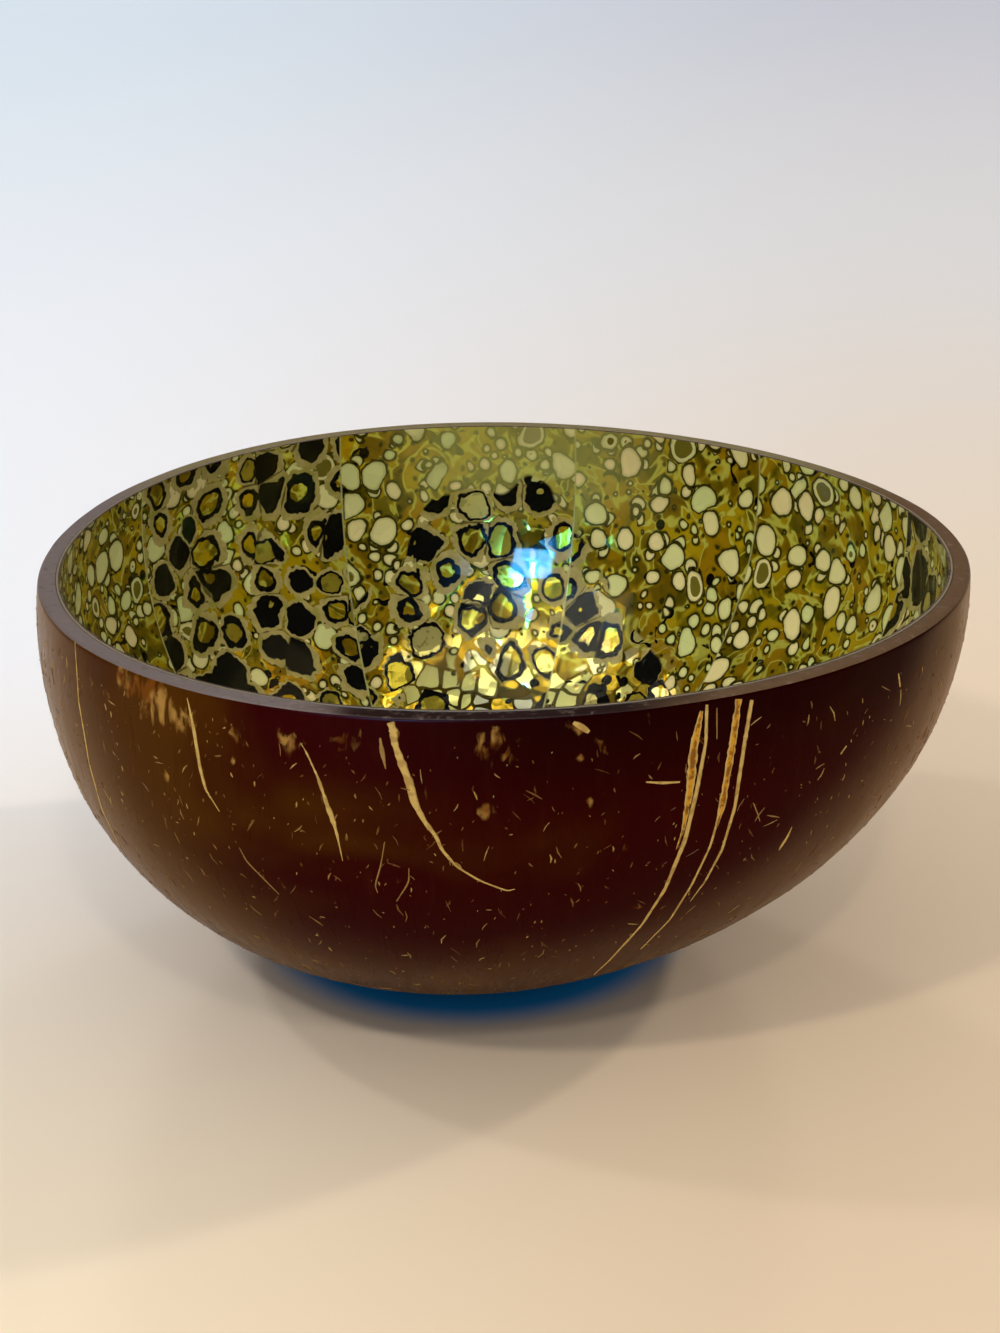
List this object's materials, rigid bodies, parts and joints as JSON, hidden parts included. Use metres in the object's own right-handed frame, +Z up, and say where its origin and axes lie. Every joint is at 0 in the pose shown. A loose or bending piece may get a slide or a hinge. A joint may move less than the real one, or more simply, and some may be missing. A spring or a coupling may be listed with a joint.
{
  "type": "coconut shell bowl",
  "caption": "Half coconut shell bowl, polished dark outside with blond fibre streaks, lined with glossy cell-patterned inlay panels.",
  "frame": {"origin": "on the flat sanded base, under the lowest point of the nut", "axes": "+Z up through the open mouth, +X towards the shallower sloping side, -Y towards the viewer of the picture"},
  "size_m": [0.1406, 0.1407, 0.0638],
  "materials": {
    "shell": "polished coconut shell, satin gloss, blond fibres and flecks",
    "bond": "tan filler and glue, matt",
    "pebble_inlay": "cream pebbles on olive and gold, glossy",
    "ring_inlay": "black rings and cream cells on olive, glossy",
    "lacquer": "clear gloss lacquer"
  },
  "bodies": {
    "root": {"coconut_shell": "shell", "bond_coat": "bond", "inlay_panel_01": "pebble_inlay", "inlay_panel_02": "pebble_inlay", "inlay_panel_03": "pebble_inlay", "inlay_panel_04": "ring_inlay", "inlay_panel_05": "pebble_inlay", "inlay_panel_06": "pebble_inlay", "inlay_panel_07": "ring_inlay", "inlay_panel_08": "pebble_inlay", "inlay_panel_09": "pebble_inlay", "inlay_panel_10": "ring_inlay", "inlay_centre": "ring_inlay", "clear_coat": "lacquer"}
  },
  "joints": []
}
